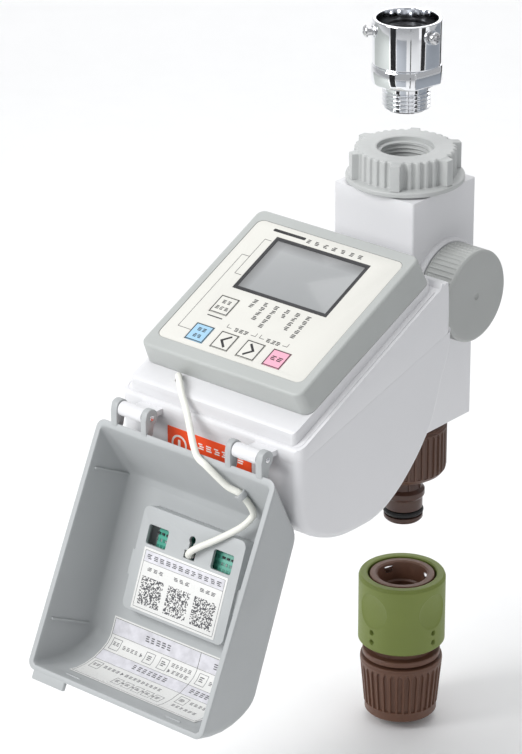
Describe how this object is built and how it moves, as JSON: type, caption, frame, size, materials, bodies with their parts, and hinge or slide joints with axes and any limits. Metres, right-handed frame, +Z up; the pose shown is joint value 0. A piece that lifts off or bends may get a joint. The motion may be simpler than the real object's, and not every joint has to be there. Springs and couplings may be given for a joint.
{
  "type": "garden tap watering timer",
  "caption": "Solar garden tap watering timer: square valve column with shut-off knob, slanted control head with hinged cover, tap adaptor and click hose connector.",
  "frame": {"origin": "centre of the tap adaptor's open mouth, on the water axis", "axes": "+Z up along the water axis; -Y towards the control head and the user; +X towards the knob"},
  "size_m": [0.098, 0.2176, 0.3315],
  "materials": {
    "chrome": "polished chrome plate",
    "steel": "bright steel",
    "rubber": "black rubber",
    "nut_grey": "moulded grey plastic",
    "knob_grey": "moulded grey plastic",
    "spigot_grey": "moulded grey plastic",
    "cover_grey": "moulded grey plastic, fine texture",
    "bezel_grey": "moulded light grey plastic",
    "white_plastic": "moulded white plastic",
    "dark_plastic": "glass-filled black plastic",
    "brass": "machined brass",
    "coil": "enamelled copper under tape",
    "nipple_brown": "dark brown plastic",
    "brown_plastic": "brown plastic",
    "green_plastic": "olive green plastic",
    "label_orange": "orange film sticker",
    "overlay_film": "printed polyester film",
    "key_blue": "blue printed key",
    "key_pink": "pink printed key",
    "lcd_lens": "clear display lens",
    "lcd_dark": "black printed frame",
    "lcd_body": "display cell and holder",
    "board_green": "green circuit board",
    "cell_wrap": "heat-shrink sleeve",
    "panel_cell": "dark solar glass",
    "label_white": "printed white sticker",
    "lead_white": "white cable sheath"
  },
  "bodies": {
    "adaptor": {"adaptor_body": "chrome", "adaptor_packing": "rubber", "clamp_screws": "steel"},
    "housing": {"nut_retainer": "white_plastic", "inlet_washer": "rubber", "inlet_strainer": "white_plastic", "inlet_sleeve": "white_plastic", "valve_column": "white_plastic", "valve_body": "dark_plastic", "ball_seats": "white_plastic", "stem_oring": "rubber", "solenoid_coil": "coil", "solenoid_tube": "steel", "return_spring": "steel", "outlet_spigot": "spigot_grey", "outlet_washer": "rubber", "outlet_nipple": "nipple_brown", "nipple_oring": "rubber", "head_lower_shell": "white_plastic", "head_upper_shell": "white_plastic", "housing_screws": "steel", "front_label": "label_orange", "bezel": "bezel_grey", "bezel_screws": "steel", "panel_overlay": "overlay_film", "lcd_window": "lcd_lens", "lcd_frame": "lcd_dark", "lcd_module": "lcd_body", "control_board": "board_green", "tact_switches": "dark_plastic", "storage_cell": "cell_wrap", "solar_lead": "lead_white"},
    "inlet_nut": {"inlet_nut": "nut_grey"},
    "knob": {"knob": "knob_grey", "valve_stem": "brass", "valve_ball": "brass"},
    "plunger": {"armature": "steel", "valve_poppet": "white_plastic", "poppet_seal": "rubber"},
    "outlet_collar": {"outlet_collar": "brown_plastic"},
    "key_manual": {"key_manual": "overlay_film"},
    "key_mode": {"key_mode": "key_blue"},
    "key_back": {"key_back": "overlay_film"},
    "key_next": {"key_next": "overlay_film"},
    "key_set": {"key_set": "key_pink"},
    "cover": {"lid_shell": "cover_grey", "hinge_pins": "steel", "holder_plate": "cover_grey", "solar_board": "board_green", "solar_panel": "panel_cell", "lid_code_label": "label_white", "lid_guide_label": "label_white", "lead_clip": "cover_grey"},
    "connector": {"connector_body": "brown_plastic", "lock_pawls": "steel", "grip_collet": "white_plastic", "sleeve_spring": "steel"},
    "release_sleeve": {"release_sleeve": "green_plastic"},
    "hose_nut": {"hose_nut": "brown_plastic"}
  },
  "joints": [
    {"name": "tap_fit", "type": "slide", "parent": "adaptor", "child": "housing", "axis": [0, 0, 1], "range_m": [0, 0.0264]},
    {"name": "inlet_nut_turn", "type": "hinge", "parent": "housing", "child": "inlet_nut", "pos_m": [0, 0, -0.0645], "axis": [0, 0, 1], "continuous": true},
    {"name": "knob_turn", "type": "hinge", "parent": "housing", "child": "knob", "pos_m": [0, 0, -0.1166], "axis": [1, 0, 0], "range_deg": [0, 90]},
    {"name": "plunger_stroke", "type": "slide", "parent": "housing", "child": "plunger", "axis": [0, -1, 0], "range_m": [0, 0.002], "stiffness_N_per_m": 400, "springref_m": -0.002, "deforming": ["return_spring"]},
    {"name": "outlet_collar_turn", "type": "hinge", "parent": "housing", "child": "outlet_collar", "pos_m": [0, 0.0022, -0.1995], "axis": [0, 0, 1], "continuous": true},
    {"name": "cover_hinge", "type": "hinge", "parent": "housing", "child": "cover", "pos_m": [0, -0.14, -0.143], "axis": [1, 0, 0], "range_deg": [-219.5, 0], "deforming": ["solar_lead"]},
    {"name": "connector_fit", "type": "slide", "parent": "housing", "child": "connector", "axis": [0, 0, 1], "range_m": [0, 0.0472]},
    {"name": "release_slide", "type": "slide", "parent": "connector", "child": "release_sleeve", "axis": [0, 0, -1], "range_m": [0, 0.0035], "stiffness_N_per_m": 600, "springref_m": -0.003, "deforming": ["sleeve_spring"]},
    {"name": "hose_nut_turn", "type": "hinge", "parent": "connector", "child": "hose_nut", "pos_m": [0, 0.0022, -0.3125], "axis": [0, 0, 1], "continuous": true},
    {"name": "key_manual_press", "type": "slide", "parent": "housing", "child": "key_manual", "axis": [0, 0.4258, -0.9048], "range_m": [0, 0.0004], "stiffness_N_per_m": 500, "springref_m": -0.0006},
    {"name": "key_mode_press", "type": "slide", "parent": "housing", "child": "key_mode", "axis": [0, 0.4258, -0.9048], "range_m": [0, 0.0004], "stiffness_N_per_m": 500, "springref_m": -0.0006},
    {"name": "key_back_press", "type": "slide", "parent": "housing", "child": "key_back", "axis": [0, 0.4258, -0.9048], "range_m": [0, 0.0004], "stiffness_N_per_m": 500, "springref_m": -0.0006},
    {"name": "key_next_press", "type": "slide", "parent": "housing", "child": "key_next", "axis": [0, 0.4258, -0.9048], "range_m": [0, 0.0004], "stiffness_N_per_m": 500, "springref_m": -0.0006},
    {"name": "key_set_press", "type": "slide", "parent": "housing", "child": "key_set", "axis": [0, 0.4258, -0.9048], "range_m": [0, 0.0004], "stiffness_N_per_m": 500, "springref_m": -0.0006}
  ]
}
